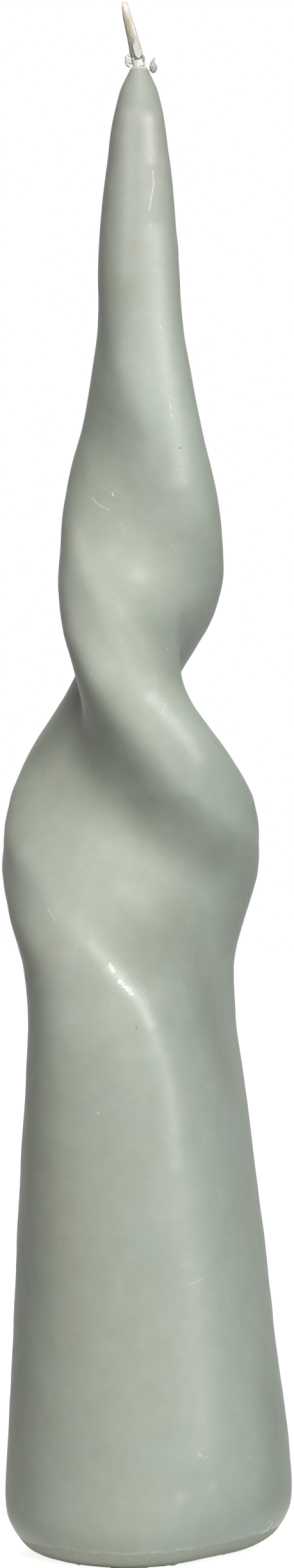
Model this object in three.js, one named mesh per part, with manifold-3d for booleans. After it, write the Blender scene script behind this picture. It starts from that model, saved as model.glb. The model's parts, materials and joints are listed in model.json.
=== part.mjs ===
// Twisted taper candle: a dipped wax taper, rolled flat through its middle and wrung one full turn by hand, on its
// cotton wick. Millimetres, +Z up, origin under the middle of the foot, front towards -Y.

import * as THREE from "three";
import { mergeVertices } from "three/addons/utils/BufferGeometryUtils.js";
import Module from "manifold-3d";

const wasm = await Module();
wasm.setup();

// Main stretches of the wax, from the foot up
const BASE_LENGTH = 97;
const TWIST_LENGTH = 80;
const TIP_LENGTH = 101.3;

// Cross sections of the wax, each at a share of its stretch's length. A section is a rounded bar: long and short are
// its half axes, square is 2 for an ellipse and more for fuller corners, and hollow is how far the middles of the
// broad sides are drawn in, as a share. turn is the direction of the long axis in degrees, counter-clockwise from
// above, and lean and back are how far its middle lies towards +X and +Y.
const STRETCHES = [
  {
    length: BASE_LENGTH,
    sections: [
      { at: 0, long: 27, short: 27, square: 2, hollow: 0, turn: 268, lean: 0.45, back: 0 }, // foot
      { at: 0.12, long: 27, short: 27, square: 2, hollow: 0, turn: 268, lean: 0.45, back: 0 },
      { at: 0.46, long: 25.6, short: 24.2, square: 2.1, hollow: 0, turn: 260, lean: -0.7, back: 0 },
      { at: 0.71, long: 26.2, short: 21.8, square: 2.2, hollow: 0, turn: 256, lean: -1.5, back: 0 },
      { at: 0.88, long: 26.8, short: 19.4, square: 2.4, hollow: 0, turn: 254, lean: -2, back: 0 },
      { at: 1, long: 27, short: 17.3, square: 2.5, hollow: 0, turn: 251, lean: -2.5, back: 0 }, // waist
    ],
  },
  {
    length: TWIST_LENGTH,
    sections: [
      { at: 0.1, long: 26.6, short: 16.8, square: 2.5, hollow: 0, turn: 249, lean: -2.9, back: 0.5 },
      { at: 0.2, long: 26.4, short: 16.3, square: 2.4, hollow: 0, turn: 241, lean: -3.4, back: 1.3 },
      { at: 0.3, long: 24.8, short: 16.6, square: 2.4, hollow: 0.02, turn: 221, lean: -3.4, back: 2.7 },
      { at: 0.4, long: 24.2, short: 16, square: 2.7, hollow: 0, turn: 194, lean: -3.1, back: 3.8 }, // lower bulge
      { at: 0.5, long: 23.8, short: 14.4, square: 3.2, hollow: 0, turn: 160, lean: -2.9, back: 4 },
      { at: 0.6, long: 23.4, short: 13.6, square: 3.7, hollow: 0.08, turn: 133, lean: -3.3, back: 4 },
      { at: 0.7, long: 23.2, short: 12, square: 3.7, hollow: 0.2, turn: 115, lean: -4, back: 4 },
      { at: 0.8, long: 20.6, short: 10.9, square: 3.7, hollow: 0.28, turn: 98, lean: -4.1, back: 4 }, // neck
      { at: 0.9, long: 18.6, short: 11.4, square: 3.2, hollow: 0.2, turn: 80, lean: -2.9, back: 4 },
      { at: 1, long: 17.2, short: 12, square: 2.4, hollow: 0.08, turn: 54, lean: -1.7, back: 4 },
    ],
  },
  {
    length: TIP_LENGTH,
    sections: [
      { at: 0.08, long: 15.8, short: 10, square: 2.6, hollow: 0, turn: 18, lean: -1.1, back: 3.5 }, // upper bulge
      { at: 0.18, long: 14.9, short: 9.8, square: 2.5, hollow: 0, turn: -16, lean: -1.1, back: 3 },
      { at: 0.3, long: 13.6, short: 9, square: 2.4, hollow: 0.02, turn: -44, lean: -1.1, back: 2 },
      { at: 0.41, long: 11, short: 9.2, square: 2.2, hollow: 0.05, turn: -60, lean: -1.1, back: 1 },
      { at: 0.53, long: 8.9, short: 8.1, square: 2, hollow: 0.05, turn: -68, lean: -1.3, back: 0.5 },
      { at: 0.65, long: 7.6, short: 7.8, square: 2, hollow: 0.04, turn: -70, lean: -1.5, back: 0 },
      { at: 0.83, long: 5.9, short: 6, square: 2, hollow: 0.03, turn: -70, lean: -1.6, back: 0 },
      { at: 0.95, long: 3.8, short: 3.8, square: 2, hollow: 0, turn: -70, lean: -1.5, back: 0 }, // shoulder
      { at: 1, long: 1.5, short: 1.5, square: 2, hollow: 0, turn: -70, lean: -1.45, back: 0 }, // rim
    ],
  },
];

// Edge between the side and the flat underside, which is pared rounder towards one side
const FOOT_ROUNDING = 10;
const PARED_EXTRA = 6;
const PARED_DIRECTION = -37;
const PARED_FOCUS = 4;

// Wick: the length that stands above the rim leans over, after a bend that lies in the wax
const WICK_RADIUS = 0.6;
const WICK_BORE_CLEARANCE = 0.3;
const WICK_RECESS = 0.5;
const WICK_BEND_HEIGHT = 8;
const STUB_HEIGHT = 12.3;
const STUB_LEAN = 13;

// Skin of wax on the stub, with the wick's tip left bare
const COAT_CLEARANCE = 0.12;
const COAT_THICKNESS = 0.28;
const COAT_START = 2;
const BARE_TIP = 1;

// Pale residue round the wick's root, and the space that the loose bits of wax keep to what they sit on
const COLLAR_START = 0.5;
const COLLAR_HEIGHT = 1.3;
const COLLAR_THICKNESS = 0.43;
const SEAT_GAP = 0.2;

// Leaf-shaped flake on the front of the coat, and the small fin beside the residue
const FLAKE_WIDTH = 1.7;
const FLAKE_LENGTH = 4.4;
const FLAKE_THICKNESS = 0.35;
const FLAKE_CENTRE = 3.6;
const FLAKE_DIRECTION = -62;
const FIN_WIDTH = 0.45;
const FIN_HEIGHT = 1.5;
const FIN_THICKNESS = 0.35;
const FIN_START = 0.7;

// Crumb of wax at the left of the wick: round lumps in a stack, each with its height above the rim
const CRUMB_LUMPS = [
  { height: 0.35, radius: 0.45 },
  { height: 0.95, radius: 0.55 },
  { height: 1.6, radius: 0.45 },
];

// Drop of wax at the right of the rim, drawn out to a point
const DROP_RADIUS = 0.84;
const DROP_CENTRE = -0.4;
const DROP_ROUND_END = 30;
const DROP_NECK_RADIUS = 0.2;
const DROP_NECK_RISE = 1.4;
const DROP_TIP_RISE = 0.55;

// Fineness of the faceted surfaces
const SIDES_OF_WAX = 48;
const RINGS_PER_RISE = 4;
const RINGS_IN_ROUNDING = 5;
const SIDES_OF_WICK = 8;
const SIDES_OF_RINGS = 12;
const STEPS_OF_LEAF_EDGE = 6;
const STEPS_OF_DROP = 4;
const WICK_STEP = 5;

const radians = THREE.MathUtils.degToRad;
const heights = [];
const values = [];
let waxHeight = 0;
for (const { length, sections } of STRETCHES) {
  for (const { at, long, short, square, hollow, turn, lean, back } of sections) {
    heights.push(waxHeight + at * length);
    values.push(long, short, square, hollow, turn, lean, back);
  }
  waxHeight += length;
}
const between = new THREE.CubicInterpolant(heights, values, values.length / heights.length);

function sectionAt(height) {
  const [long, short, square, hollow, turn, lean, back] = between.evaluate(height);
  return { long, short, square, hollow, turn: radians(turn), lean, back };
}

// Distance from a section's middle to its outline, at an angle from its long axis
function barRadius({ long, short, square, hollow }, angle) {
  const along = Math.abs(Math.cos(angle) / long) ** square;
  const across = Math.abs(Math.sin(angle) / short) ** square;
  return (along + across) ** (-1 / square) * (1 - hollow * Math.sin(angle) ** 4);
}

function footRounding(direction) {
  const pared = Math.max(0, Math.cos(direction - radians(PARED_DIRECTION)));
  return FOOT_ROUNDING + PARED_EXTRA * pared ** PARED_FOCUS;
}

// One ring of points round the wax, at a height and drawn in by a distance that may both differ along the ring
function waxRing(heightAndInset) {
  const points = [];
  for (let side = 0; side < SIDES_OF_WAX; side++) {
    const angle = (side / SIDES_OF_WAX) * 2 * Math.PI;
    const { height, inset } = heightAndInset(angle);
    const section = sectionAt(height);
    const direction = angle + section.turn;
    const radius = barRadius(section, angle) - inset;
    const x = section.lean + radius * Math.cos(direction);
    const y = section.back + radius * Math.sin(direction);
    points.push(new THREE.Vector3(x, y, height));
  }
  return points;
}

// Closed skin over rings of points, from the lowest to the highest, with a flat fan at each end
function skin(rings) {
  const sides = rings[0].length;
  const middleOf = (ring) => ring.reduce((sum, point) => sum.add(point), new THREE.Vector3()).divideScalar(sides);
  const points = [...rings.flat(), middleOf(rings[0]), middleOf(rings.at(-1))];
  const lowest = points.length - 2;
  const highest = points.length - 1;
  const faces = [];
  for (let side = 0; side < sides; side++) {
    const next = (side + 1) % sides;
    const topRing = (rings.length - 1) * sides;
    faces.push(lowest, next, side, highest, topRing + side, topRing + next);
    for (let below = 0; below < topRing; below += sides) {
      const above = below + sides;
      faces.push(below + side, below + next, above + next, below + side, above + next, above + side);
    }
  }
  return new THREE.BufferGeometry().setFromPoints(points).setIndex(faces);
}

function waxSkin() {
  const footDirection = sectionAt(0).turn;
  const rings = [];
  for (let step = 0; step <= RINGS_IN_ROUNDING; step++) {
    const arc = (step / RINGS_IN_ROUNDING) * (Math.PI / 2);
    rings.push(
      waxRing((angle) => {
        const rounding = footRounding(angle + footDirection);
        return { height: rounding * (1 - Math.cos(arc)), inset: rounding * (1 - Math.sin(arc)) };
      }),
    );
  }
  const topOfRounding = FOOT_ROUNDING + PARED_EXTRA;
  for (let row = 1; row < heights.length; row++) {
    for (let step = 1; step <= RINGS_PER_RISE; step++) {
      const height = THREE.MathUtils.lerp(heights[row - 1], heights[row], step / RINGS_PER_RISE);
      if (height > topOfRounding) rings.push(waxRing(() => ({ height, inset: 0 })));
    }
  }
  return skin(rings);
}

// The wick's middle line follows the middle of the wax, bends over below the rim and then runs straight to its tip
function wickAt(height) {
  const bent = THREE.MathUtils.clamp(height - waxHeight + WICK_BEND_HEIGHT, 0, WICK_BEND_HEIGHT);
  const run = bent ** 2 / (2 * WICK_BEND_HEIGHT) - WICK_BEND_HEIGHT / 2 + Math.max(0, height - waxHeight);
  const { lean, back } = sectionAt(height);
  return new THREE.Vector3(lean - run * Math.tan(radians(STUB_LEAN)), back, height);
}

class WickLine extends THREE.Curve {
  constructor(start, end) {
    super();
    this.start = start;
    this.end = end;
  }

  getPoint(share, target = new THREE.Vector3()) {
    return target.copy(wickAt(THREE.MathUtils.lerp(this.start, this.end, share)));
  }
}

function disc(radius) {
  return new THREE.Shape().absarc(0, 0, radius, 0, 2 * Math.PI);
}

function tubeAlongWick(radius, start, end) {
  return new THREE.ExtrudeGeometry(disc(radius), {
    extrudePath: new WickLine(start, end),
    steps: Math.ceil((end - start) / WICK_STEP),
    curveSegments: SIDES_OF_WICK / 2,
  });
}

function sleeve(bore, wall, length) {
  const shape = disc(bore + wall);
  shape.holes.push(disc(bore));
  return new THREE.ExtrudeGeometry(shape, { depth: length, bevelEnabled: false, curveSegments: SIDES_OF_RINGS / 2 });
}

// Flat leaf with two curved edges, standing on its lower point, its thickness along Y
function leaf(width, length, thickness) {
  const shape = new THREE.Shape();
  shape.quadraticCurveTo(width, length / 2, 0, length);
  shape.quadraticCurveTo(-width, length / 2, 0, 0);
  const options = { depth: thickness, bevelEnabled: false, curveSegments: STEPS_OF_LEAF_EDGE };
  return new THREE.ExtrudeGeometry(shape, options).translate(0, 0, -thickness / 2).rotateX(Math.PI / 2);
}

// Round lumps in a stack, each against the residue round the wick
function crumb() {
  const lumps = CRUMB_LUMPS.map(({ height, radius }) => {
    const { x, z } = wickAt(waxHeight + height);
    const besideCollar = x - collarRadius - SEAT_GAP - radius;
    return solidOf(new THREE.IcosahedronGeometry(radius, 1).translate(besideCollar, 0, z));
  });
  return geometryOf(lumps.reduce((joined, lump) => joined.add(lump)));
}

// Round drop that narrows to a point at its top, its axis along Y and its widest part at the origin
function drawnOutDrop() {
  const outline = [];
  for (let step = 0; step <= STEPS_OF_DROP; step++) {
    const angle = radians(THREE.MathUtils.lerp(-90, DROP_ROUND_END, step / STEPS_OF_DROP));
    outline.push(new THREE.Vector2(Math.cos(angle), Math.sin(angle)).multiplyScalar(DROP_RADIUS));
  }
  outline[0].x = 0;
  outline.push(new THREE.Vector2(DROP_NECK_RADIUS, DROP_NECK_RISE));
  outline.push(new THREE.Vector2(0, DROP_NECK_RISE + DROP_TIP_RISE));
  return new THREE.LatheGeometry(outline, SIDES_OF_RINGS);
}

function solidOf(geometry) {
  const bare = geometry.clone();
  bare.deleteAttribute("normal");
  bare.deleteAttribute("uv");
  const merged = mergeVertices(bare);
  const vertProperties = new Float32Array(merged.attributes.position.array);
  const triVerts = new Uint32Array(merged.index.array);
  return new wasm.Manifold(new wasm.Mesh({ numProp: 3, vertProperties, triVerts }));
}

function geometryOf(solid) {
  const { vertProperties, triVerts } = solid.getMesh();
  const geometry = new THREE.BufferGeometry();
  geometry.setAttribute("position", new THREE.BufferAttribute(vertProperties, 3));
  geometry.setIndex(new THREE.BufferAttribute(triVerts, 1));
  geometry.computeVertexNormals();
  return geometry;
}

const tipHeight = waxHeight + STUB_HEIGHT;
const stubLength = STUB_HEIGHT / Math.cos(radians(STUB_LEAN));
const sleeveBore = WICK_RADIUS + COAT_CLEARANCE;
const coatRadius = sleeveBore + COAT_THICKNESS;
const collarRadius = sleeveBore + COLLAR_THICKNESS;

const candle = new THREE.Group();

function addPart(parent, name, geometry, color, roughness) {
  const part = new THREE.Mesh(geometry, new THREE.MeshStandardMaterial({ color, roughness, metalness: 0 }));
  part.name = name;
  parent.add(part);
  return part;
}

// Wax and wick
const bore = tubeAlongWick(WICK_RADIUS + WICK_BORE_CLEARANCE, -WICK_STEP, waxHeight + WICK_STEP);
addPart(candle, "wax_body", geometryOf(solidOf(waxSkin()).subtract(solidOf(bore))), 0xaab1a5, 0.45);
addPart(candle, "wick", tubeAlongWick(WICK_RADIUS, WICK_RECESS, tipHeight), 0xe1d7d2, 0.9);

// Pieces on the stub stand in a frame of their own: its origin is where the wick leaves the wax, its Z along the stub
const stub = new THREE.Group();
stub.position.copy(wickAt(waxHeight));
stub.rotation.y = -radians(STUB_LEAN);
candle.add(stub);

const coatLength = stubLength - BARE_TIP - COAT_START;
const coat = addPart(stub, "wick_wax_coat", sleeve(sleeveBore, COAT_THICKNESS, coatLength), 0xadaea0, 0.4);
coat.position.z = COAT_START;

const collar = addPart(stub, "wax_collar", sleeve(sleeveBore, COLLAR_THICKNESS, COLLAR_HEIGHT), 0xe4e3dd, 0.7);
collar.position.z = COLLAR_START;

const flakeSide = new THREE.Group();
flakeSide.rotation.z = radians(FLAKE_DIRECTION + 90);
stub.add(flakeSide);
const flake = addPart(flakeSide, "front_flake", leaf(FLAKE_WIDTH, FLAKE_LENGTH, FLAKE_THICKNESS), 0xcdcdc7, 0.5);
const flakeSeat = Math.max(coatRadius, collarRadius) + SEAT_GAP;
flake.position.set(0, -flakeSeat - FLAKE_THICKNESS / 2, FLAKE_CENTRE - FLAKE_LENGTH / 2);

const fin = addPart(stub, "side_fin", leaf(FIN_WIDTH, FIN_HEIGHT, FIN_THICKNESS), 0x8f9288, 0.5);
fin.position.set(collarRadius + SEAT_GAP + FIN_WIDTH / 2, 0, FIN_START);

// Loose bits of wax beside the wick
addPart(candle, "left_crumb", crumb(), 0xcdcdc9, 0.6);

const drop = addPart(candle, "right_drop", drawnOutDrop(), 0xb1b2ad, 0.5);
const besideRim = sectionAt(waxHeight + DROP_CENTRE);
drop.rotation.x = Math.PI / 2;
drop.position.set(besideRim.lean + besideRim.long + SEAT_GAP + DROP_RADIUS, 0, waxHeight + DROP_CENTRE);

export default candle;
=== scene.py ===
# Looks of a twisted taper candle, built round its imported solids. Metres, +Z up, the camera looks along +Y.

import json
import math
import random

import bpy
from mathutils import Matrix, Vector

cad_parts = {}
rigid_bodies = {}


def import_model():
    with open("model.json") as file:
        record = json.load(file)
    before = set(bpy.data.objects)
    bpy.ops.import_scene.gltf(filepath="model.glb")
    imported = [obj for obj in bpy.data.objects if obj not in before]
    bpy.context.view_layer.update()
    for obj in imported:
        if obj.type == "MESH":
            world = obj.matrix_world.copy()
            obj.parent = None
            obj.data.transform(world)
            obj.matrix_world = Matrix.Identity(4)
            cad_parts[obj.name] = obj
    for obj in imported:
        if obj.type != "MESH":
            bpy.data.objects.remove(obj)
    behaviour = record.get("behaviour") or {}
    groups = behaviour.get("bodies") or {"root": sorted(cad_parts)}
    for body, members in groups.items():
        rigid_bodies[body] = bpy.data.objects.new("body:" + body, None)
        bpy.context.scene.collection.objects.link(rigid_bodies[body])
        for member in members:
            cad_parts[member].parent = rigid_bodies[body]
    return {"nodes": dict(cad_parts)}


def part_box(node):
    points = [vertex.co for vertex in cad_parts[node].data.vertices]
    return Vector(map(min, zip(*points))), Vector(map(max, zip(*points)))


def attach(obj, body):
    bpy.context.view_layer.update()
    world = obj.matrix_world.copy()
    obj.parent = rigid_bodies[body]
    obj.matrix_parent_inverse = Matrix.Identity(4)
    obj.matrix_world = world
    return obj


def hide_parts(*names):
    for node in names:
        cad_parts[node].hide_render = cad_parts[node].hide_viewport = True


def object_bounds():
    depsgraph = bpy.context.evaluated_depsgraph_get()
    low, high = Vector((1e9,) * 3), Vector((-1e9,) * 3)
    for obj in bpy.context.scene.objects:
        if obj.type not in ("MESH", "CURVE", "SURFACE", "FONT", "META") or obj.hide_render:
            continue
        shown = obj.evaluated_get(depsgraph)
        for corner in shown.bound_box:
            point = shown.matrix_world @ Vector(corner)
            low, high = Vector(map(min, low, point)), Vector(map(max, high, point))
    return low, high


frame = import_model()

CAD_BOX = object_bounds()
WAX_LOW, WAX_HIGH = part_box("wax_body")
MM = 0.001


def tone(red, green, blue):
    """A colour as a screen writes it, from 0 to 255, turned into light by the sRGB curve."""
    levels = [level / 255 for level in (red, green, blue)]
    return (*[level / 12.92 if level < 0.04045 else ((level + 0.055) / 1.055) ** 2.4 for level in levels], 1)


# The photograph: its size and the row where the candle stands, in pixels, and a pixel's width in metres
PHOTO_WIDTH, PHOTO_HEIGHT = 459, 2446
STANDING_ROW = 2423
PIXEL = 0.00012

# Camera, in metres
CAMERA_DISTANCE = 0.915
SENSOR_HEIGHT = 0.036

# Lights: degrees from straight ahead towards +X and up from level, then width, height and watts
LIGHT_DISTANCE = 1.2
LIGHTS = {
    "high": (0, 50, 0.3, 0.5, 8.3),
    "right_high": (25, 25, 0.3, 0.5, 5.5),
    "right": (25, 4, 0.4, 0.3, 3.4),
    "front": (0, 4, 0.4, 0.3, 3.1),
    "back": (180, 40, 0.5, 0.5, 5),
}
# How strongly the room around lights the candle, where 1 is white
ROOM_LEVEL = 0.02

# Floor, in metres: pale near the foot, and further off a grey that throws little light back, made up for by a
# glow. Each of the two changes between two distances from the middle.
FLOOR_RADIUS = 3
FLOOR_SIDES = 96
FLOOR_GLOW_NEAR, FLOOR_GLOW_FAR = 0.82, 1
FLOOR_GLOW_REACH = (0.05, 0.6)
FLOOR_PALE_REACH = (0.03, 0.055)
FLOOR_PALE, FLOOR_GREY = tone(240, 240, 240), tone(115, 115, 115)
FLOOR_ROUGHNESS = 0.9

# Corners of a solid nearer to each other than this are merged, in metres
MERGE_DISTANCE = 1e-6
# Levels of subdivision of the wax and of the small pieces
WAX_LEVELS, SMALL_LEVELS = 2, 3

# Mesh of the wax: corners this near to the height of an end, in metres, count as lying on it
FLAT_TOLERANCE = 2e-5
# Rings that close its underside, and its rim with a small well round the wick: how wide each is as a share of
# the one before, and how many millimetres it rises
UNDERSIDE_RINGS = [(0.94, 0), (0.5, 0)]
WELL_RINGS = [(0.8, 0.05), (0.62, -0.1), (0.9, -1.2)]
# Soft dents by size and depth, in millimetres
DENTS = [(16, 0.5), (5, 0.12)]
# Corners lower than this are pressed flat and pushed to the left, and those within a reach go with them
FLATTENED_BELOW = 0.2 * MM
FOOT_PUSH = -0.9 * MM
FOOT_PUSH_REACH = 9 * MM

# Stub of the wick: where it leaves the wax, how far it leans over, and how long it is
WICK_ROOT = Vector((-1.45 * MM, 0, WAX_HIGH.z))
WICK_LEAN = math.radians(13)
STUB = Matrix.Translation(WICK_ROOT) @ Matrix.Rotation(-WICK_LEAN, 4, "Y")
STUB_LENGTH = (CAD_BOX[1][2] - WAX_HIGH.z) / math.cos(WICK_LEAN)

# The crumb and the drop are measured from here, the middle at the height of the wax's rim
RIM = Matrix.Translation((0, 0, WAX_HIGH.z))

# Turned pieces, in millimetres. A ring has a height along the piece, a radius and a shift across, and lumps
# have a size and a depth. The coat and the residue stand on the stub, and the drop at the rim.
TURNED_SIDES = 16
COAT_RINGS = [
    (0.9, 1.12, 0),
    (1.8, 1.18, 0),
    (2.8, 1.27, -0.05),
    (3.4, 1.18, 0),
    (4.9, 1.08, 0),
    (6.9, 0.98, -0.03),
    (8.9, 0.9, -0.1),
    (10.0, 0.81, -0.08),
    (10.8, 0.74, -0.06),
    (11.4, 0.68, -0.08),
    (11.8, 0.6, -0.08),
]
COAT_WALL = 0.22
COAT_LUMPS = [(1.6, 0.12), (0.5, 0.05)]
RESIDUE_RINGS = [(-0.2, 1.1, 0), (0.2, 1.2, 0), (0.9, 1.2, 0), (1.3, 1.12, 0), (1.6, 0.98, 0)]
RESIDUE_WALL = 0.3
DROP_RINGS = [
    (-1.25, 0.16, 1.14),
    (-1.0, 0.46, 1.2),
    (-0.5, 0.68, 1.16),
    (-0.15, 0.84, 1.28),
    (0.4, 0.6, 1.09),
    (0.9, 0.32, 1.07),
    (1.25, 0.2, 1.22),
    (1.55, 0.2, 1.32),
    (1.72, 0.08, 1.38),
]
DROP_LUMPS = (0.6, 0.1)
# Thread of wax that runs into the drop from the left: across and above the rim, and its radius
DROP_THREAD = [(0, -0.7), (0.25, -0.82), (0.5, -0.66), (0.8, -0.55)]
DROP_THREAD_RADIUS = 0.12

# Outlines of the thin leaves on the stub, across it and along it in millimetres, and how far off its middle
# they stand. A leaf's face is inset twice, and each time its inside moves back by some millimetres.
FLAKE_OUTLINE = [
    (0.45, 5.4),
    (0.85, 5.45),
    (1.08, 4.9),
    (1.1, 3.9),
    (1.21, 2.8),
    (0.96, 2.0),
    (0.5, 1.25),
    (-0.05, 1.35),
    (-0.42, 2.0),
    (-0.42, 2.9),
    (-0.44, 3.7),
    (-0.15, 4.5),
]
FLAKE_REACH = 1.45
FLAKE_THICKNESS = 0.12
FLAKE_LUMPS = (0.7, 0.12)
FIN_OUTLINE = [
    (0.75, 2.3),
    (1.05, 2.1),
    (1.4, 1.4),
    (1.25, 0.8),
    (1.08, 0.4),
    (0.95, 0.6),
    (0.97, 1.2),
    (0.85, 1.8),
]
FIN_REACH = 1.42
FIN_THICKNESS = 0.22
LEAF_INSETS = [(0.14, -0.06), (0.16, 0.12)]

# Crumb, in millimetres: round lumps of wax by their place across, above the rim and towards the back, and
# their radius. They are melted into one skin of voxels, smoothed in passes, and ruffled by size and depth.
LUMP_ROUNDNESS = 2
CRUMB_LUMPS = [
    (-3.35, 2.0, 0, 0.45),
    (-3.85, 1.75, -0.05, 0.36),
    (-3.55, 1.35, -0.05, 0.5),
    (-3.0, 1.3, 0, 0.4),
    (-3.8, 0.95, 0, 0.42),
    (-3.35, 0.8, -0.1, 0.45),
    (-2.95, 0.75, 0.1, 0.38),
    (-3.65, 0.35, 0, 0.38),
    (-3.35, 0.1, 0, 0.32),
]
CRUMB_MELT = {"voxel": 0.06, "passes": 10, "size": 0.6, "depth": 0.12}

# Grit in the residue, melted in the same way: how many grains, and the ranges of their radius, of their
# distance from the stub's middle and of their height on it
GRIT_COUNT = 14
GRIT_RADIUS = (0.12, 0.26)
GRIT_AWAY = (0.95, 1.15)
GRIT_HEIGHT = (-0.05, 1.6)
GRIT_SEED = 5
RESIDUE_MELT = {"voxel": 0.05, "passes": 8, "size": 0.7, "depth": 0.2}

# Plait of the wick, in millimetres: its strands, the half widths and the length of their swing, the step
# between their points, their radius, and how far the solid shrinks to lie inside them
STRANDS = 3
PLAIT_WIDTH, PLAIT_DEPTH = 0.33, 0.18
PLAIT_PITCH = 2.8
PLAIT_STEP = 0.12
STRAND_RADIUS = 0.3
STRAND_ROUNDNESS = 3
CORE_SHRINK = 0.25
# Its cut tip falls to the left by a share of the way, and the strands' last points narrow to these shares
TIP_SLANT = 0.45
STRAND_TIP = [0.9, 0.6]

# Marks on the wax, at pixels of the photograph: a half width in millimetres, a strength, and a line's corners
SCRATCHES = [
    (0.22, 1, (238, 266), (240, 288), (237, 304), (233, 328)),
    (0.15, 1, (144, 776), (150, 784), (158, 790), (170, 795)),
    (0.1, 0.4, (155, 757), (167, 764), (181, 775)),
    (0.12, 0.35, (165, 752), (180, 764), (198, 775)),
    (0.12, 0.35, (137, 802), (145, 808)),
    (0.1, 0.7, (212, 1530), (222, 1545), (234, 1570)),
    (0.1, 0.5, (216, 1526), (229, 1548)),
    (0.14, 0.8, (74, 1415), (80, 1427), (87, 1437)),
    (0.1, 0.6, (252, 1094), (268, 1118)),
    (0.1, 0.6, (260, 1097), (253, 1112)),
    (0.16, 0.7, (297, 2004), (306, 2000), (316, 1994)),
    (0.12, 0.5, (281, 1977), (297, 1967)),
]
# Ragged white patches where the skin has flaked
FLAKED = [
    (1, 1, (171, 1504), (178, 1516)),
    (1.2, 1, (187, 1531), (197, 1541), (206, 1550)),
    (0.35, 0.95, (176, 769), (176, 773)),
    (1.3, 0.6, (309, 2270), (322, 2274)),
    (1, 0.8, (404, 2394), (416, 2388), (424, 2378)),
    (0.5, 0.8, (234, 350), (236, 356)),
    (1.3, 0.55, (262, 620), (272, 668)),
    (1, 0.5, (248, 485), (254, 550)),
    (1.1, 0.48, (282, 715), (291, 765)),
]
# Painted highlights: paler bands along the ridges and a few round spots, smoother at their cores. Painted
# shade:
# darker bands in the grooves and on dim sides.
HIGHLIGHT_CRESTS = [
    (2.6, 0.9, (233, 185), (236, 250)),
    (4, 0.5, (236, 250), (243, 360)),
    (5, 0.85, (243, 360), (246, 399), (259, 574), (286, 748)),
    (9, 0.45, (243, 500), (262, 640), (292, 780)),
    (9, 0.5, (205, 570), (222, 650), (240, 710)),
    (8, 0.5, (108, 900), (122, 1010), (160, 1040)),
    (9, 0.5, (35, 1370), (62, 1440)),
    (9, 0.4, (110, 1500), (130, 1580)),
    (2.4, 0.5, (201, 180), (201, 300), (194, 430)),
    (4.5, 0.55, (120, 830), (142, 898), (180, 985), (236, 1098)),
    (4, 0.85, (236, 1088), (262, 1118), (290, 1150), (308, 1182)),
    (5, 0.55, (42, 1335), (80, 1410), (142, 1472)),
    (3, 0.75, (142, 1472), (173, 1510)),
    (3.4, 1, (173, 1510), (217, 1559), (236, 1600)),
    (4.5, 0.75, (236, 1600), (254, 1650), (268, 1721), (277, 1821)),
    (7, 0.6, (277, 1821), (298, 1971), (311, 2121), (317, 2250)),
    (5, 0.75, (217, 898), (219, 898)),
    (5.5, 0.45, (195, 1388), (228, 1406)),
    (1.8, 0.6, (282, 2335), (283, 2335)),
    (1.5, 0.5, (331, 2318), (332, 2318)),
]
SHADE_HOLLOWS = [
    (9, 1, (246, 985), (262, 1030), (282, 1040)),
    (8, 1, (225, 1275), (280, 1320), (330, 1340)),
    (11, 0.9, (235, 1480), (285, 1450), (325, 1560), (350, 1660)),
    (8, 0.8, (170, 1110), (215, 1190)),
    (9, 0.7, (425, 2180), (432, 2320)),
    (3.5, 0.5, (160, 530), (190, 615), (216, 680)),
    (9, 1, (108, 1085), (62, 1165)),
]
# Dark pits and pale flecks
PITS = [
    (0.24, 1, (280, 699), (282, 699)),
    (0.25, 0.8, (213, 1602), (213, 1604)),
    (0.15, 1, (335, 1160), (336, 1160)),
]
FLECKS = [
    (0.16, 0.9, (261, 1011), (261, 1013)),
    (0.14, 0.9, (268, 848), (268, 849)),
    (0.16, 0.9, (142, 1051), (144, 1051)),
    (0.15, 0.7, (108, 1981), (108, 1982)),
    (0.15, 0.7, (220, 2099), (221, 2099)),
    (0.2, 1, (390, 2272), (390, 2273)),
    (0.18, 1, (420, 2374), (422, 2373)),
]
# The lines by the name of the mask that they make
MARKS = {
    "highlight_crests": HIGHLIGHT_CRESTS,
    "scratches": SCRATCHES,
    "painted_shade": SHADE_HOLLOWS,
    "flecks": FLECKS,
    "pits": PITS,
    "flakes": FLAKED,
}
# Round specks: the distance between them and their radius in millimetres, and the share of places that has
# one. The last of that share fades.
SPECKS = [(1.6, 0.13, 0.09), (3, 0.22, 0.05)]
SPECK_FADE = 0.01

# The middle of a noise, which runs from 0 to 1
NOISE_MIDDLE = 0.5

# Grains of the wax: the size of their blobs in millimetres, how many times finer ones are added and how
# strong those are, and how far the blobs are drawn out along each axis
WAX_GRAINS = {
    "clouds": {"size": 14, "detail": 3, "rough": 0.6},
    "mottle": {"size": 3, "detail": 4, "rough": 0.6},
    "striations": {"size": 9, "detail": 3, "rough": 0.65, "stretch": (1, 1, 0.08)},
    "rags": {"size": 0.5, "detail": 4, "rough": 0.7},
    "grit": {"size": 0.8, "detail": 3},
}

# Tones of the wax, first from left to right in millimetres and then in layers. A layer has the name of its
# mask, the start and the end of the mask's rise, how much the layer covers, and its tone.
SAGE_FADE = (-16, 16)
SAGE_LEFT, SAGE_RIGHT = tone(161, 166, 151), tone(156, 165, 153)
SAGE_LAYERS = [
    ("height", 215, 270, 0.85, tone(158, 159, 149)),
    ("clouds", 0.4, 0.7, 0.3, tone(154, 167, 160)),
    ("mottle", 0.5, 0.75, 0.22, tone(143, 150, 134)),
    ("mottle", 0.5, 0.25, 0.14, tone(190, 194, 188)),
]
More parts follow.
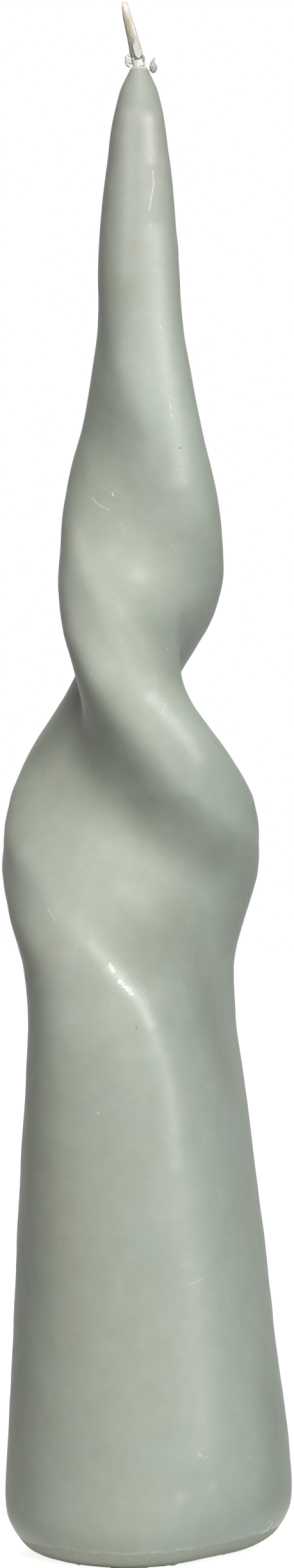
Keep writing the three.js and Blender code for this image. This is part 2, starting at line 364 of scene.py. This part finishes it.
# Marks laid over those layers in turn: the name of the mask, how much it covers, and its tone
MARK_LAYERS = [
    ("specks", 0.55, tone(222, 222, 216)),
    # Painted highlight along the ridges and on a few round spots
    ("painted_highlight", 1, tone(238, 239, 234)),
    # Painted shade in the grooves and on dim sides
    ("painted_shade", 0.36, tone(112, 120, 104)),
    ("pale", 0.6, tone(232, 233, 229)),
    ("flaked", 0.65, tone(242, 242, 239)),
    ("pits", 0.7, tone(70, 76, 66)),
    ("worn_band", 1, tone(160, 162, 149)),
    ("brink", 0.22, tone(222, 224, 216)),
    ("rim", 0.5, tone(222, 222, 214)),
]

# Painted highlights on the ridges: how narrow their bright cores are and how these vary, the speckle broken
# over them, and their shares
CORE_SHARPNESS = 4
CORE_GRAIN = {"size": 1.6, "detail": 3}
CORE_LEAST, CORE_VARIES = 0.4, 1.2
SPECKLE_GRAIN = {"size": 0.3, "detail": 3}
SPECKLE_GRAIN_RISE = (0.5, 0.8)
SPECKLE_CREST_RISE = (0.35, 0.9)
CREST_SHARE, CORE_SHARE, SPECKLE_SHARE = 0.14, 0.2, 0.35

# Rags, a fine grain, break the scratches and fray the flaked patches
BROKEN_RISE = (0.35, 0.6)
BROKEN_LEAST, BROKEN_VARIES = 0.4, 0.6
FLAKED_SHARE, RAGS_SHARE = 0.8, 2
FLAKED_RISE = (0.45, 0.9)

# Rough band round the foot's lower edge, in millimetres: where it rises towards the right and by how much,
# the depth of its waves, the heights between which it fades, and the foot and the top of the pale brink along
# it. Then come the rise of the grit that breaks the brink, and the band's share, even and with its grit.
BAND_LIFT_FADE = (-5, 24)
BAND_LIFT = 1.8
BAND_GRAIN = {"size": 3, "detail": 3}
BAND_WAVES = 1.2
BAND_FADE = (3.8, 3.3)
BRINK_FOOT, BRINK_TOP = (3.4, 3.7), (4.2, 3.8)
BRINK_BREAKS = (0.4, 0.65)
BAND_SHARE, BAND_GRIT_SHARE = 0.3, 0.5

# Pale, broken edge of the rim, in millimetres: how ragged it is, and where from the top it starts and is full
RIM_RAGS = 0.8
RIM_FADE = (-0.4, 0.2)

# Relief of the wax in millimetres, its roughness with what each mask adds to it, and its gloss
WAX_RELIEF = {"striations": 0.018, "mottle": 0.05, "rough_band": 0.3}
WAX_ROUGHNESS = 0.36
WAX_ROUGHER = {"clouds": 0.1, "mottle": 0.06, "highlight_cores": -0.1, "highlight_speckle": 0.15, "band": 0.25}
WAX_GLOSS = 0.15
WAX_IOR = 1.44

# Coat on the stub: wax over cotton, grey-green at its foot, straw in the middle and pink-beige towards its
# tip, with a painted highlight just below the tip. Its layers, and the cotton's, are written as the wax's
# are.
COAT_GRAINS = {
    "fibres": {"size": 0.22, "detail": 3, "rough": 0.6, "stretch": (1, 1, 14)},
    "clouds": {"size": 0.9},
}
COAT_STRAW = tone(164, 154, 134)
COAT_LAYERS = [
    ("height", 7.6, 4.6, 1, tone(136, 138, 124)),
    ("height", 9, 11.6, 1, tone(208, 199, 191)),
    # Painted highlight just below the tip
    ("along", 10.2, 11.2, 0.6, tone(236, 230, 225)),
    ("across", 0.2, 0.8, 0.3, tone(196, 196, 186)),
    ("fibres", 0.4, 0.7, 0.3, tone(206, 198, 184)),
    ("fibres", 0.5, 0.25, 0.3, tone(140, 132, 110)),
]
# Pale streak down its front right: across and along, how far in front, and its half width, in millimetres
COAT_STREAK = [(0.5, 10.4), (0.58, 9.2), (0.6, 7.8), (0.62, 6.5), (0.68, 5.7)]
COAT_STREAK_FRONT, COAT_STREAK_WIDTH = 0.75, 0.45
COAT_STREAK_SHARE, COAT_STREAK_TONE = 0.7, tone(246, 244, 238)
COAT_RELIEF = {"fibres": 0.05, "clouds": 0.08}
COAT_ROUGHNESS, COAT_ROUGHER = 0.24, 0.14

# Cotton of the wick
COTTON_GRAINS = {
    "blotches": {"size": 0.6},
    "fibres": {"size": 0.25, "detail": 3, "stretch": (0.3, 0.3, 3)},
}
COTTON_WHITE = tone(240, 232, 228)
COTTON_LAYERS = [
    ("blotches", 0.4, 0.62, 1, tone(222, 198, 192)),
    ("fibres", 0.45, 0.7, 0.4, tone(248, 244, 240)),
]
COTTON_RELIEF = {"fibres": 0.06}
COTTON_ROUGHNESS, COTTON_ROUGHER = 0.55, 0.3

# Crumbled wax: its grain, its grey, the pale tone over it by a gain less a loss, its relief and its roughness
RESIDUE_GRAIN = {"size": 0.35, "detail": 4, "rough": 0.65}
RESIDUE_RISE = (0.35, 0.65)
RESIDUE_GREY, RESIDUE_PALE = tone(184, 186, 181), tone(234, 233, 229)
COLLAR_GAIN, COLLAR_LOSS = 1, 0
CRUMB_GAIN, CRUMB_LOSS = 0.84, 0.2
RESIDUE_RELIEF = 0.08
RESIDUE_ROUGHNESS, RESIDUE_ROUGHER = 0.35, 0.3

# Thin loose wax: its grain and wrinkles, its light and dark tone on each piece, its relief and its roughness
THIN_GRAINS = {
    "grain": {"size": 0.4, "detail": 3, "rough": 0.6},
    "wrinkles": {"size": 0.5, "stretch": (0.5, 1, 1.6)},
}
THIN_RISE = (0.35, 0.65)
FLAKE_TONES = tone(190, 189, 183), tone(172, 171, 164)
FIN_TONES = tone(176, 178, 172), tone(142, 146, 138)
DROP_TONES = tone(180, 181, 177), tone(156, 158, 151)
THIN_RELIEF = {"grain": 0.05, "wrinkles": 0.08}
THIN_ROUGHNESS, THIN_ROUGHER = 0.34, 0.2


def pixel_height(row):
    return (STANDING_ROW - row) * PIXEL


def aim(thing, target):
    thing.rotation_euler = (target - thing.location).to_track_quat("-Z", "Y").to_euler()


EYE = Vector((0, -CAMERA_DISTANCE, pixel_height(PHOTO_HEIGHT / 2)))


def camera():
    data = bpy.data.cameras.new("camera")
    data.sensor_fit = "VERTICAL"
    data.sensor_height = SENSOR_HEIGHT / MM
    data.lens = data.sensor_height * CAMERA_DISTANCE / (PHOTO_HEIGHT * PIXEL)
    seen = bpy.data.objects.new("camera", data)
    seen.location = EYE
    bpy.context.collection.objects.link(seen)
    aim(seen, Vector((0, 0, EYE.z)))
    bpy.context.scene.camera = seen


def light(name, azimuth, lift, width, tall, power):
    turn, lift = math.radians(azimuth), math.radians(lift)
    data = bpy.data.lights.new(name, "AREA")
    data.shape = "RECTANGLE"
    data.size = width
    data.size_y = tall
    data.energy = power
    lamp = bpy.data.objects.new(name, data)
    middle = Vector((0, 0, CAD_BOX[1][2] / 2))
    toward = Vector((math.sin(turn) * math.cos(lift), -math.cos(turn) * math.cos(lift), math.sin(lift)))
    lamp.location = middle + LIGHT_DISTANCE * toward
    bpy.context.collection.objects.link(lamp)
    aim(lamp, middle)


class Wire:
    """A node's output. Arithmetic on it adds Math nodes."""

    def __init__(self, socket):
        self.socket = socket

    def math(self, operation, *values):
        return add_node(self.socket.id_data, "ShaderNodeMath", {"operation": operation}, *values)

    def __add__(self, other):
        return self.math("ADD", self, other)

    __radd__ = __add__

    def __sub__(self, other):
        return self.math("SUBTRACT", self, other)

    def __rsub__(self, other):
        return self.math("SUBTRACT", other, self)

    def __mul__(self, other):
        return self.math("MULTIPLY", self, other)

    __rmul__ = __mul__

    def most(self, other):
        return self.math("MAXIMUM", self, other)

    def least(self, other):
        return self.math("MINIMUM", self, other)


def add_node(tree, kind, settings, *values, out=0, **named):
    """A node's settings come first, then its sockets' values or links, of which None keeps the default."""
    node = tree.nodes.new(kind)
    for key, value in settings.items():
        setattr(node, key, value)
    for slot, value in [*enumerate(values), *named.items()]:
        if value is not None:
            feed(tree, node.inputs[slot], value)
    return Wire(node.outputs[out])


def feed(tree, socket, value):
    if isinstance(value, Wire):
        tree.links.new(value.socket, socket)
    else:
        socket.default_value = value


class Paint:
    """A material being made, on its piece's Object coordinates."""

    def __init__(self, name, on_stub=False):
        self.material = bpy.data.materials.new(name)
        self.material.use_nodes = True
        self.tree = self.material.node_tree
        self.shader = self.tree.nodes["Principled BSDF"]
        self.place = self.add("ShaderNodeTexCoord", {}, out="Object")
        if on_stub:
            turned = {"Location": WICK_ROOT, "Rotation": (0, -WICK_LEAN, 0)}
            self.place = self.add("ShaderNodeMapping", {"vector_type": "TEXTURE"}, self.place, **turned)

    def add(self, kind, settings, *values, **named):
        return add_node(self.tree, kind, settings, *values, **named)

    def set(self, **values):
        for name, value in values.items():
            feed(self.tree, self.shader.inputs[name.replace("_", " ")], value)

    def along(self, axis):
        """The place along an axis, in millimetres."""
        return self.add("ShaderNodeSeparateXYZ", {}, self.place, out=axis) * (1 / MM)

    def vector(self, operation, *values, **named):
        return self.add("ShaderNodeVectorMath", {"operation": operation}, *values, **named)

    def noise(self, size, detail=2, rough=0.5, stretch=(1, 1, 1)):
        """Smooth noise from 0 to 1, its blobs about so many millimetres across, drawn out along each axis."""
        scale = tuple(1 / (size * MM * share) for share in stretch)
        place = self.add("ShaderNodeMapping", {}, self.place, Scale=scale)
        return self.add("ShaderNodeTexNoise", {}, place, Scale=1, Detail=detail, Roughness=rough)

    def noises(self, grains):
        return {name: self.noise(**grain) for name, grain in grains.items()}

    def dots(self, spacing, radius, share):
        """Round dots, one in each cell of a grid of some millimetres, of which only a share are drawn."""
        place = self.add("ShaderNodeMapping", {}, self.place, Scale=(1 / (spacing * MM),) * 3)
        distance = self.add("ShaderNodeTexVoronoi", {}, place, Scale=1)
        chance = self.add("ShaderNodeTexVoronoi", {}, place, out="Color", Scale=1)
        red = self.add("ShaderNodeSeparateColor", {}, chance, out="Red")
        drawn = self.rise(red, share, share - SPECK_FADE)
        return self.rise(distance, radius / spacing, radius / spacing / 2) * drawn

    def rise(self, value, start, end):
        """0 at start and beyond it, 1 at end, and smooth between."""
        settings = {"interpolation_type": "SMOOTHSTEP", "clamp": False}
        return self.add("ShaderNodeMapRange", settings, value, start, end, 0, 1)

    def mix(self, factor, first, second):
        """One colour turning into another. Only the factor and the two colours of the node are used."""
        unused = [None] * 5
        return self.add("ShaderNodeMix", {"data_type": "RGBA"}, factor, *unused, first, second, out=2)

    def lay(self, colour, masks, layers):
        """Lays tones over a colour in turn, each where its mask rises from start to end, up to a share."""
        for name, start, end, share, shade in layers:
            colour = self.mix(self.rise(masks[name], start, end) * share, colour, shade)
        return colour

    def bump(self, height):
        """A relief of a height in millimetres."""
        return self.add("ShaderNodeBump", {}, Height=height, Distance=MM)

    def near_line(self, start, end, radius):
        """1 on the line between two points, falling to 0 at a radius in millimetres."""
        run = end - start
        offset = self.vector("SUBTRACT", self.place, start)
        share = self.vector("DOT_PRODUCT", offset, run / run.length_squared, out="Value")
        foot = self.vector("SCALE", run, Scale=share.most(0).least(1))
        return self.rise(self.vector("DISTANCE", offset, foot, out="Value"), radius * MM, 0)


def seen_at(wax, pixel):
    """The point of the wax that a pixel of the photograph shows."""
    column, row = pixel
    through = Vector(((column - PHOTO_WIDTH / 2) * PIXEL, 0, pixel_height(row)))
    hit, point = wax.ray_cast(EYE, (through - EYE).normalized())[:2]
    if not hit:
        raise ValueError(f"no wax at pixel {pixel}")
    return point


def union(masks):
    """The most of several masks. Each is made and joined in before the next, so that few are held at once."""
    joined = None
    for mask in masks:
        joined = joined.most(mask) if joined else mask
    return joined


def weighted(masks, shares):
    """The sum of masks, each times its share."""
    return sum(masks[name] * share for name, share in shares.items())


def line_mask(paint, wax, table):
    """The most of a table's lines, drawn on the wax."""

    def masks():
        for width, strength, *pixels in table:
            points = [seen_at(wax, pixel) for pixel in pixels]
            for start, end in zip(points, points[1:]):
                yield paint.near_line(start, end, width) * strength

    return union(masks())


def add_highlight_masks(paint, masks):
    # Painted highlights along the ridges: narrow bright cores that vary, and a speckle broken over them
    highlight_crests = masks["highlight_crests"]
    highlight_cores = highlight_crests.math("POWER", highlight_crests, CORE_SHARPNESS)
    masks["highlight_cores"] = highlight_cores * (CORE_LEAST + paint.noise(**CORE_GRAIN) * CORE_VARIES)
    speckle_grain = paint.rise(paint.noise(**SPECKLE_GRAIN), *SPECKLE_GRAIN_RISE)
    masks["highlight_speckle"] = paint.rise(highlight_crests, *SPECKLE_CREST_RISE) * speckle_grain
    masks["painted_highlight"] = highlight_crests * CREST_SHARE + masks["highlight_cores"] * CORE_SHARE


def add_mark_masks(paint, masks):
    rags = masks["rags"]
    broken = BROKEN_LEAST + paint.rise(rags, *BROKEN_RISE) * BROKEN_VARIES
    # Pale scratches and flecks, with the painted highlights' speckle at a share
    masks["pale"] = (masks["scratches"] * broken).most(masks["flecks"]).most(masks["highlight_speckle"] * SPECKLE_SHARE)
    frayed = masks["flakes"] * FLAKED_SHARE + (rags - NOISE_MIDDLE) * RAGS_SHARE
    masks["flaked"] = paint.rise(frayed, *FLAKED_RISE)
    masks["specks"] = union(paint.dots(*kind) for kind in SPECKS)


def add_end_masks(paint, masks):
    """The band and its brink at the foot, and the edge of the rim."""
    grit, height = masks["grit"], masks["height"]
    lift = paint.rise(masks["across"], *BAND_LIFT_FADE) * BAND_LIFT
    edge = height - lift + (paint.noise(**BAND_GRAIN) - NOISE_MIDDLE) * BAND_WAVES
    band = paint.rise(edge, *BAND_FADE)
    brink = paint.rise(edge, *BRINK_FOOT) * paint.rise(edge, *BRINK_TOP)
    masks["band"] = band
    masks["rough_band"] = grit * band
    masks["worn_band"] = band * (BAND_SHARE + grit * BAND_GRIT_SHARE)
    masks["brink"] = brink * paint.rise(grit, *BRINK_BREAKS)
    masks["rim"] = paint.rise(height - WAX_HIGH.z / MM + grit * RIM_RAGS, *RIM_FADE)


def wax_material(wax):
    """Sage wax: warmer at the left, clouded, with painted highlights along its ridges and painted shade in
    its grooves, marked by handling, rough at the foot.
    """
    paint = Paint("sage_wax")
    # The lines are the most to work out, so they come first, while few other masks are held
    masks = {name: line_mask(paint, wax, table) for name, table in MARKS.items()}
    masks.update(paint.noises(WAX_GRAINS))
    masks["height"] = paint.along("Z")
    masks["across"] = paint.along("X")
    add_highlight_masks(paint, masks)
    add_mark_masks(paint, masks)
    add_end_masks(paint, masks)
    colour = paint.mix(paint.rise(masks["across"], *SAGE_FADE), SAGE_LEFT, SAGE_RIGHT)
    colour = paint.lay(colour, masks, SAGE_LAYERS)
    for name, share, shade in MARK_LAYERS:
        colour = paint.mix(masks[name] * share, colour, shade)
    roughness = WAX_ROUGHNESS + weighted(masks, WAX_ROUGHER)
    relief = paint.bump(weighted(masks, WAX_RELIEF))
    paint.set(Base_Color=colour, Roughness=roughness, Normal=relief)
    paint.set(IOR=WAX_IOR, Specular_IOR_Level=WAX_GLOSS)
    return paint.material


def select_where(thing, kind, test):
    """Goes into edit mode on one object with nothing selected but what the test passes."""
    only(thing)
    bpy.ops.object.mode_set(mode="EDIT")
    bpy.ops.mesh.select_mode(type=kind)
    bpy.ops.mesh.select_all(action="DESELECT")
    bpy.ops.object.mode_set(mode="OBJECT")
    items = {"VERT": thing.data.vertices, "EDGE": thing.data.edges, "FACE": thing.data.polygons}[kind]
    for item in items:
        item.select = test(item)
    bpy.ops.object.mode_set(mode="EDIT")


def only(thing):
    bpy.ops.object.select_all(action="DESELECT")
    thing.select_set(True)
    bpy.context.view_layer.objects.active = thing


def modify(thing, kind, **settings):
    """Adds a modifier and applies it."""
    only(thing)
    modifier = thing.modifiers.new(kind.lower(), kind)
    for key, value in settings.items():
        setattr(modifier, key, value)
    bpy.ops.object.modifier_apply(modifier=modifier.name)


def smooth(thing, levels):
    modify(thing, "SUBSURF", levels=levels, render_levels=levels)


def ruffle(thing, size, depth):
    """Pushes the surface in and out by soft lumps of a size and by a depth, both in millimetres."""
    lumps = bpy.data.textures.new("lumps", "CLOUDS")
    lumps.noise_scale = size * MM
    settings = {"texture": lumps, "texture_coords": "LOCAL", "mid_level": NOISE_MIDDLE}
    modify(thing, "DISPLACE", strength=depth * MM, **settings)


def fresh_copy(node, name):
    """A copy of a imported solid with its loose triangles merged."""
    copy = bpy.data.objects.new(name, frame["nodes"][node].data.copy())
    bpy.context.collection.objects.link(copy)
    select_where(copy, "VERT", lambda vertex: True)
    bpy.ops.mesh.remove_doubles(threshold=MERGE_DISTANCE)
    bpy.ops.object.mode_set(mode="OBJECT")
    return copy


def dress(thing, material, slot, *nodes):
    only(thing)
    bpy.ops.object.shade_smooth()
    thing.data.materials.clear()
    thing.data.materials.append(material)
    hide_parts(*nodes)
    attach(thing, "root")


def face_outwards(thing):
    select_where(thing, "FACE", lambda face: True)
    bpy.ops.mesh.normals_make_consistent(inside=False)
    bpy.ops.object.mode_set(mode="OBJECT")


def on_end(point, end):
    return abs(point.z - end) < FLAT_TOLERANCE


def open_ends(wax):
    """Takes away the flat ends and the bore, which leaves the outer skin."""

    def in_flat_end(face):
        corners = [wax.data.vertices[index].co for index in face.vertices]
        return any(all(on_end(corner, end) for corner in corners) for end in (WAX_LOW.z, WAX_HIGH.z))

    select_where(wax, "FACE", in_flat_end)
    bpy.ops.mesh.delete(type="FACE")
    bpy.ops.object.mode_set(mode="OBJECT")
    bore_corner = min(wax.data.vertices, key=lambda vertex: (vertex.co - WICK_ROOT).length).index
    select_where(wax, "VERT", lambda vertex: vertex.index == bore_corner)
    bpy.ops.mesh.select_linked()
    bpy.ops.mesh.delete(type="VERT")
    bpy.ops.mesh.select_all(action="SELECT")
    bpy.ops.mesh.tris_convert_to_quads()
    bpy.ops.object.mode_set(mode="OBJECT")


def close_end(wax, end, middle, rings):
    """Closes the open edge at the height of an end, by rings round a middle and a last face."""
    corners = wax.data.vertices
    select_where(wax, "EDGE", lambda edge: all(on_end(corners[index].co, end) for index in edge.vertices))
    for scale, rise in rings:
        bpy.ops.mesh.extrude_edges_move()
        bpy.ops.transform.resize(value=(scale, scale, 1), center_override=middle)
        bpy.ops.transform.translate(value=(0, 0, rise * MM))
    bpy.ops.mesh.edge_face_add()
    bpy.ops.object.mode_set(mode="OBJECT")


def settle_foot(wax):
    """Presses the underside flat and pushes it a little to the left of the solid's."""
    select_where(wax, "VERT", lambda corner: corner.co.z < FLATTENED_BELOW)
    bpy.ops.transform.resize(value=(1, 1, 0), center_override=(0, 0, 0))
    bpy.ops.transform.translate(
        value=(FOOT_PUSH, 0, 0),
        use_proportional_edit=True,
        proportional_edit_falloff="SMOOTH",
        proportional_size=FOOT_PUSH_REACH,
    )
    bpy.ops.object.mode_set(mode="OBJECT")


def wax_body():
    """The solid's skin, rounded and softly dented, with a flat underside and a small well round the wick."""
    wax = fresh_copy("wax_body", "wax_surface")
    open_ends(wax)
    close_end(wax, WAX_LOW.z, (0, 0, 0), UNDERSIDE_RINGS)
    close_end(wax, WAX_HIGH.z, WICK_ROOT, WELL_RINGS)
    face_outwards(wax)
    smooth(wax, WAX_LEVELS)
    for size, depth in DENTS:
        ruffle(wax, size, depth)
    settle_foot(wax)
    bpy.context.view_layer.update()
    dress(wax, wax_material(wax), "wax", "wax_body")


def disc(name, sides, radius):
    """A flat disc of one face, at the origin."""
    bpy.ops.object.select_all(action="DESELECT")
    bpy.ops.mesh.primitive_circle_add(vertices=sides, radius=radius, fill_type="NGON")
    thing = bpy.context.object
    thing.name = name
    return thing


def turned(name, rings):
    """Draws a round outline up through rings."""
    height, radius, across = rings[0]
    thing = disc(name, TURNED_SIDES, radius * MM)
    bpy.ops.object.mode_set(mode="EDIT")
    bpy.ops.transform.translate(value=(across * MM, 0, height * MM))
    for (low, old, left), (high, new, right) in zip(rings, rings[1:]):
        bpy.ops.mesh.extrude_region_move()
        bpy.ops.transform.resize(value=(new / old, new / old, 1), center_override=(left * MM, 0, low * MM))
        bpy.ops.transform.translate(value=((right - left) * MM, 0, (high - low) * MM))
    bpy.ops.object.mode_set(mode="OBJECT")
    face_outwards(thing)
    return thing


def sleeve(name, rings, wall):
    """A turned piece without its two flat ends, with a wall inside its outline."""
    thing = turned(name, rings)
    select_where(thing, "FACE", lambda face: len(face.vertices) == TURNED_SIDES)
    bpy.ops.mesh.delete(type="FACE")
    bpy.ops.object.mode_set(mode="OBJECT")
    modify(thing, "SOLIDIFY", thickness=wall * MM, offset=-1)
    return thing


def leaf(name, outline, reach, thickness):
    """A thin leaf with a raised rim, bent round the stub at a distance from its middle."""
    thing = disc(name, len(outline), MM)
    for corner, (across, along) in zip(thing.data.vertices, outline):
        corner.co = (across * MM, 0, along * MM)
    bpy.ops.object.mode_set(mode="EDIT")
    bpy.ops.mesh.select_all(action="SELECT")
    for inset, back in LEAF_INSETS:
        bpy.ops.mesh.inset(thickness=inset * MM)
        bpy.ops.transform.translate(value=(0, back * MM, 0))
    bpy.ops.object.mode_set(mode="OBJECT")
    for corner in thing.data.vertices:
        corner.co.y -= math.sqrt(max((reach * MM) ** 2 - corner.co.x ** 2, 0))
    face_outwards(thing)
    modify(thing, "SOLIDIFY", thickness=thickness * MM, offset=0)
    smooth(thing, SMALL_LEVELS)
    return thing


def lumps_of(name, lumps):
    """Round lumps as one object, which overlap."""
    bpy.ops.object.select_all(action="DESELECT")
    made = []
    for across, above, back, radius in lumps:
        place = (across * MM, back * MM, above * MM)
        bpy.ops.mesh.primitive_ico_sphere_add(subdivisions=LUMP_ROUNDNESS, radius=radius * MM, location=place)
        made.append(bpy.context.object)
    thing = made[0]
    thing.name = name
    join(thing, *made[1:])
    only(thing)
    bpy.ops.object.transform_apply(location=True, rotation=True, scale=True)
    return thing


def join(thing, *others):
    only(thing)
    for other in others:
        other.select_set(True)
    bpy.ops.object.join()


def strand(points, radii):
    """A round strand through points in millimetres, as a mesh."""
    line = bpy.data.curves.new("strand", "CURVE")
    line.dimensions = "3D"
    line.bevel_depth = MM
    line.bevel_resolution = STRAND_ROUNDNESS
    line.use_fill_caps = True
    spline = line.splines.new("POLY")
    spline.points.add(len(points) - 1)
    for knot, point, radius in zip(spline.points, points, radii):
        knot.co = (*(value * MM for value in point), 1)
        knot.radius = radius
    thing = bpy.data.objects.new("strand", line)
    bpy.context.collection.objects.link(thing)
    only(thing)
    bpy.ops.object.convert(target="MESH")
    return thing


def strand_path(number):
    """The points of one strand of the plait up the stub, as far as its slanting cut, in millimetres."""
    length = STUB_LENGTH / MM
    points = []
    for step in range(round(length / PLAIT_STEP)):
        height = step * PLAIT_STEP
        turn = 2 * math.pi * (height / PLAIT_PITCH + number / STRANDS)
        across = PLAIT_WIDTH * math.sin(turn)
        if height > length - STRAND_RADIUS - TIP_SLANT * (PLAIT_WIDTH - across):
            break
        points.append((across, PLAIT_DEPTH * math.sin(2 * turn), height))
    return points


def wick():
    core = fresh_copy("wick", "wick_plait")
    select_where(core, "FACE", lambda face: True)
    bpy.ops.transform.shrink_fatten(value=-CORE_SHRINK * MM)
    bpy.ops.object.mode_set(mode="OBJECT")
    for number in range(STRANDS):
        points = strand_path(number)
        shares = [1] * (len(points) - len(STRAND_TIP)) + STRAND_TIP
        piece = strand(points, [STRAND_RADIUS * share for share in shares])
        piece.data.transform(STUB)
        join(core, piece)
    dress(core, cotton(), "wick_cotton", "wick")


def cotton():
    paint = Paint("wick_cotton", on_stub=True)
    masks = paint.noises(COTTON_GRAINS)
    colour = paint.lay(COTTON_WHITE, masks, COTTON_LAYERS)
    relief = paint.bump(weighted(masks, COTTON_RELIEF))
    paint.set(Base_Color=colour, Roughness=COTTON_ROUGHNESS + masks["fibres"] * COTTON_ROUGHER, Normal=relief)
    return paint.material


def coat():
    thing = sleeve("wick_film", COAT_RINGS, COAT_WALL)
    smooth(thing, SMALL_LEVELS)
    for size, depth in COAT_LUMPS:
        ruffle(thing, size, depth)
    thing.data.transform(STUB)
    dress(thing, coat_material(), "wick_coat", "wick_wax_coat")


def coat_material():
    paint = Paint("wick_film", on_stub=True)
    masks = paint.noises(COAT_GRAINS)
    masks["along"] = paint.along("Z")
    masks["across"] = paint.along("X")
    masks["height"] = masks["along"] + masks["clouds"]
    colour = paint.lay(COAT_STRAW, masks, COAT_LAYERS)
    places = [Vector((across, -COAT_STREAK_FRONT, height)) * MM for across, height in COAT_STREAK]
    streak = union(paint.near_line(start, end, COAT_STREAK_WIDTH) for start, end in zip(places, places[1:]))
    colour = paint.mix(streak * COAT_STREAK_SHARE, colour, COAT_STREAK_TONE)
    relief = paint.bump(weighted(masks, COAT_RELIEF))
    roughness = COAT_ROUGHNESS + masks["fibres"] * COAT_ROUGHER
    paint.set(Base_Color=colour, Roughness=roughness, Normal=relief, IOR=WAX_IOR)
    return paint.material


def residue_material(name, gain, loss):
    """Crumbled wax: nearly white, greyer in its hollows."""
    paint = Paint(name)
    grain = paint.noise(**RESIDUE_GRAIN)
    share = paint.rise(grain, *RESIDUE_RISE) * gain - loss
    colour = paint.mix(share.most(0), RESIDUE_GREY, RESIDUE_PALE)
    relief = paint.bump(grain * RESIDUE_RELIEF)
    paint.set(Base_Color=colour, Roughness=RESIDUE_ROUGHNESS + grain * RESIDUE_ROUGHER, Normal=relief)
    return paint.material


def thin_wax_material(name, light, dark):
    paint = Paint(name, on_stub=True)
    masks = paint.noises(THIN_GRAINS)
    colour = paint.mix(paint.rise(masks["wrinkles"], *THIN_RISE), dark, light)
    relief = paint.bump(weighted(masks, THIN_RELIEF))
    roughness = THIN_ROUGHNESS + masks["grain"] * THIN_ROUGHER
    paint.set(Base_Color=colour, Roughness=roughness, Normal=relief, IOR=WAX_IOR)
    return paint.material


def melt(thing, voxel, passes, size, depth):
    """Runs lumps into one skin, smooths it and ruffles it."""
    modify(thing, "REMESH", mode="VOXEL", voxel_size=voxel * MM)
    modify(thing, "SMOOTH", factor=0.5, iterations=passes)
    ruffle(thing, size, depth)


def residue():
    collar = sleeve("root_residue", RESIDUE_RINGS, RESIDUE_WALL)
    smooth(collar, SMALL_LEVELS)
    bits = random.Random(GRIT_SEED)
    grains = []
    for _ in range(GRIT_COUNT):
        turn = bits.uniform(0, 2 * math.pi)
        radius = bits.uniform(*GRIT_RADIUS)
        away = bits.uniform(*GRIT_AWAY)
        grains.append((away * math.cos(turn), bits.uniform(*GRIT_HEIGHT), away * math.sin(turn), radius))
    join(collar, lumps_of("grit", grains))
    melt(collar, **RESIDUE_MELT)
    collar.data.transform(STUB)
    dress(collar, residue_material("root_residue", COLLAR_GAIN, COLLAR_LOSS), "wax_residue", "wax_collar")


def crumb():
    thing = lumps_of("left_clump", CRUMB_LUMPS)
    melt(thing, **CRUMB_MELT)
    thing.data.transform(RIM)
    dress(thing, residue_material("left_clump", CRUMB_GAIN, CRUMB_LOSS), "wax_residue", "left_crumb")


def flake():
    thing = leaf("stub_flake", FLAKE_OUTLINE, FLAKE_REACH, FLAKE_THICKNESS)
    ruffle(thing, *FLAKE_LUMPS)
    thing.data.transform(STUB)
    dress(thing, thin_wax_material("stub_flake", *FLAKE_TONES), "loose_wax", "front_flake")


def fin():
    thing = leaf("stub_fin", FIN_OUTLINE, FIN_REACH, FIN_THICKNESS)
    thing.data.transform(STUB)
    dress(thing, thin_wax_material("stub_fin", *FIN_TONES), "loose_wax", "side_fin")


def drop():
    thing = turned("rim_drop", DROP_RINGS)
    smooth(thing, SMALL_LEVELS)
    points = [(across, 0, height) for across, height in DROP_THREAD]
    join(thing, strand(points, [DROP_THREAD_RADIUS] * len(points)))
    ruffle(thing, *DROP_LUMPS)
    thing.data.transform(RIM)
    dress(thing, thin_wax_material("rim_drop", *DROP_TONES), "loose_wax", "right_drop")


def pale_floor():
    floor = disc("floor", FLOOR_SIDES, FLOOR_RADIUS)
    paint = Paint("floor")
    distance = paint.vector("LENGTH", paint.place, out="Value")
    share = paint.rise(distance, *FLOOR_GLOW_REACH)
    glow = FLOOR_GLOW_NEAR + share * (FLOOR_GLOW_FAR - FLOOR_GLOW_NEAR)
    level = glow * seen_rays(paint.tree)
    white = paint.add("ShaderNodeCombineColor", {}, level, level, level)
    pale = paint.mix(paint.rise(distance, *FLOOR_PALE_REACH), FLOOR_PALE, FLOOR_GREY)
    paint.set(Base_Color=pale, Roughness=FLOOR_ROUGHNESS, Emission_Color=white, Emission_Strength=1)
    floor.data.materials.append(paint.material)


def room():
    """White to the camera, and a dim light on everything else."""
    world = bpy.data.worlds.new("room")
    bpy.context.scene.world = world
    world.use_nodes = True
    background = world.node_tree.nodes["Background"]
    background.inputs["Color"].default_value = (1, 1, 1, 1)
    seen = seen_rays(world.node_tree)
    feed(world.node_tree, background.inputs["Strength"], ROOM_LEVEL + seen * (1 - ROOM_LEVEL))


def seen_rays(tree):
    """1 for what the camera sees, straight, in a reflection or through glass, and 0 for light on things."""
    kinds = [
        add_node(tree, "ShaderNodeLightPath", {}, out=name)
        for name in ("Is Camera Ray", "Is Glossy Ray", "Is Transmission Ray")
    ]
    return union(kinds)


camera()
for name, settings in LIGHTS.items():
    light(name, *settings)
pale_floor()
room()
wax_body()
wick()
coat()
residue()
crumb()
flake()
fin()
drop()

bpy.context.scene.view_settings.view_transform = "Standard"
